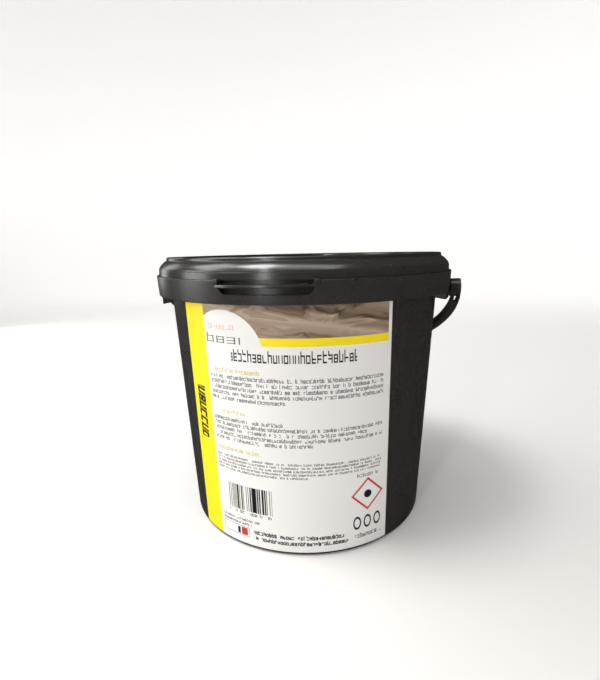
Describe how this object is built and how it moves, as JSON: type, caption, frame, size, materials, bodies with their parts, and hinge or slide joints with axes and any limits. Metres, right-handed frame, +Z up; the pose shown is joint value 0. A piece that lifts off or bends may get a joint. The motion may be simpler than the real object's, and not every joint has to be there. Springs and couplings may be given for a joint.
{
  "type": "dishwasher tablet tub",
  "caption": "Round dark plastic tub with a press-on lid, a hanging bail handle and a printed label, filled with dishwasher tablets.",
  "frame": {"origin": "centre of the ring that the tub stands on, at floor level", "axes": "+Z up along the tub's axis, -Y towards the lift notch at the front, the bail turns about a line along X"},
  "size_m": [0.2418, 0.23, 0.2012],
  "materials": {
    "tub_plastic": "semi-gloss moulded polypropylene",
    "label_paper": "gloss laminated print",
    "tablet": "pressed powder, matte"
  },
  "bodies": {
    "tub": {"bucket": "tub_plastic", "label": "label_paper", "tablet_layer_01": "tablet", "tablet_layer_02": "tablet", "tablet_layer_03": "tablet", "tablet_layer_04": "tablet", "tablet_layer_05": "tablet", "tablet_layer_06": "tablet", "tablet_layer_07": "tablet", "tablet_layer_08": "tablet", "tablet_layer_09": "tablet", "tablet_layer_10": "tablet"},
    "handle": {"handle": "tub_plastic"},
    "lid": {"lid": "tub_plastic"}
  },
  "joints": [
    {"name": "handle_swing", "type": "hinge", "parent": "tub", "child": "handle", "pos_m": [0, 0, 0.1744], "axis": [1, 0, 0], "range_deg": [0, 251]},
    {"name": "lid_lift", "type": "slide", "parent": "tub", "child": "lid", "axis": [0, 0, 1], "range_m": [0, 0.06]}
  ]
}
